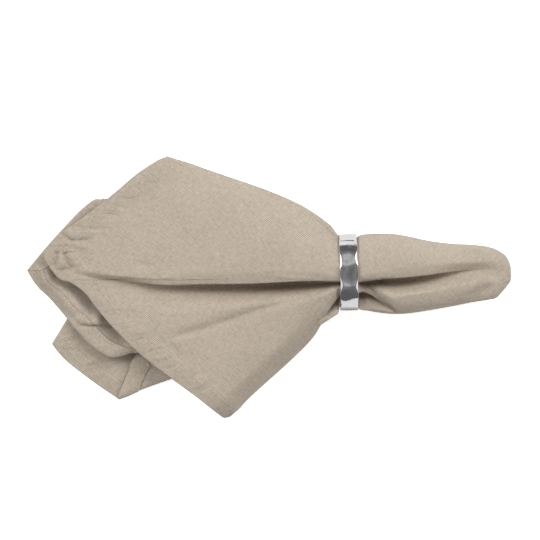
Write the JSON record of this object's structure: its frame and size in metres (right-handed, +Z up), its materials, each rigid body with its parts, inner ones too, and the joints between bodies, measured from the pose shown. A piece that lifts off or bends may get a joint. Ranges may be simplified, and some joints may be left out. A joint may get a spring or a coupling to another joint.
{
  "type": "cloth napkin in a ring",
  "caption": "Square hemmed cloth napkin gathered through a hammered metal ring, its corners fanned out on one side and its middle drawn into a rounded tail on the other.",
  "frame": {"origin": "on the table under the middle of the part's box", "axes": "+X along the napkin from the fanned corners to the rounded tail, +Z up from the table"},
  "size_m": [0.3002, 0.1606, 0.0469],
  "materials": {
    "cloth": "plain woven, washed, matt beige",
    "metal": "polished, lightly hammered"
  },
  "bodies": {
    "root": {"napkin": "cloth", "ring": "metal"}
  },
  "joints": []
}
